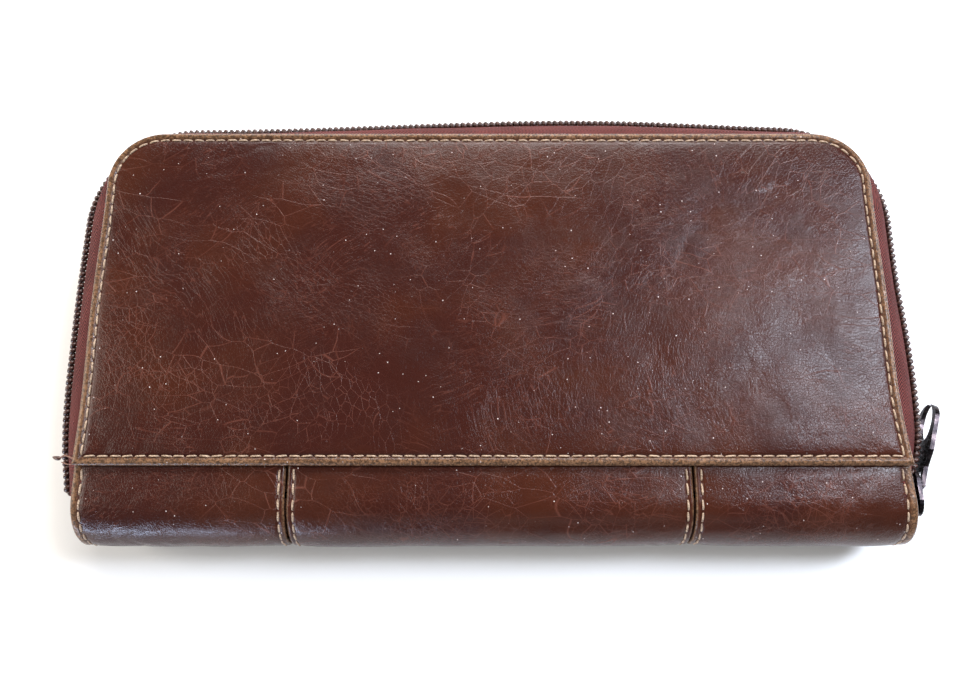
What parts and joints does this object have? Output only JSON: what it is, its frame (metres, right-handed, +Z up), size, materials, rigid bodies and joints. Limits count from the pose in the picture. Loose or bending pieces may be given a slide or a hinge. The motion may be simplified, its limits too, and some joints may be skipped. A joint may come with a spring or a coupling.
{
  "type": "passport holder wallet",
  "caption": "Zip-around leather passport wallet with a rounded spine, a fold-out lid, a passport pocket, card slots and a metal zip slider with a pull tab.",
  "frame": {"origin": "on the base cover's outer face, on the wallet's centre line, 42 mm behind the lower fold", "axes": "+X along the spine, +Y from the spine to the zip's long side, +Z up out of the closed wallet"},
  "size_m": [0.225, 0.1158, 0.0254],
  "materials": {
    "leather_brown": "glossy pull-up leather, creased",
    "card_leather": "smooth satin leather",
    "lining_fabric": "woven lining",
    "board": "stiff fibre board, hidden between leather and lining",
    "zip_tape": "woven herringbone tape",
    "zip_coil": "moulded coil, glossy",
    "gunmetal": "dark gunmetal plate"
  },
  "bodies": {
    "base": {"base_cover_leather": "leather_brown", "base_stiffener": "board", "spine_hem_lower": "leather_brown", "base_lining": "lining_fabric", "passport_panel": "card_leather", "passport_welt_left": "card_leather", "passport_welt_right": "card_leather", "passport_welt_front": "card_leather", "document_sleeve": "lining_fabric", "zip_tape_lower": "zip_tape", "zip_coil_lower": "zip_coil"},
    "spine": {"spine_panel_left": "leather_brown", "spine_panel_centre": "leather_brown", "spine_panel_right": "leather_brown", "spine_lining": "lining_fabric", "spine_end_left": "lining_fabric", "spine_end_right": "lining_fabric"},
    "lid": {"lid_cover_leather": "leather_brown", "lid_stiffener": "board", "spine_hem_upper": "leather_brown", "lid_lining": "lining_fabric", "card_slot_left_1": "card_leather", "card_slot_left_2": "card_leather", "card_slot_left_3": "card_leather", "card_slot_left_4": "card_leather", "card_slot_right_1": "card_leather", "card_slot_right_2": "card_leather", "card_slot_right_3": "card_leather", "card_slot_right_4": "card_leather", "zip_tape_upper": "zip_tape", "zip_coil_upper": "zip_coil"},
    "slider": {"slider_body": "gunmetal", "slider_bridge": "gunmetal"},
    "pull": {"pull_tab": "gunmetal"}
  },
  "joints": [
    {"name": "spine_fold", "type": "hinge", "parent": "base", "child": "spine", "pos_m": [0, -0.042, 0.0025], "axis": [1, 0, 0], "range_deg": [0, 90]},
    {"name": "lid_fold", "type": "hinge", "parent": "spine", "child": "lid", "pos_m": [0, -0.042, 0.0229], "axis": [1, 0, 0], "range_deg": [0, 90]},
    {"name": "slider_travel", "type": "slide", "parent": "base", "child": "slider", "axis": [0.0533, 0.9986, 0], "range_m": [0, 0.06]},
    {"name": "pull_swing", "type": "hinge", "parent": "slider", "child": "pull", "pos_m": [0.1082, -0.03831, 0.0127], "axis": [0, 0, -1], "range_deg": [-3, 150]}
  ],
  "couplings": [
    {"joint": "lid_fold", "follows": "spine_fold", "ratio": 1}
  ]
}
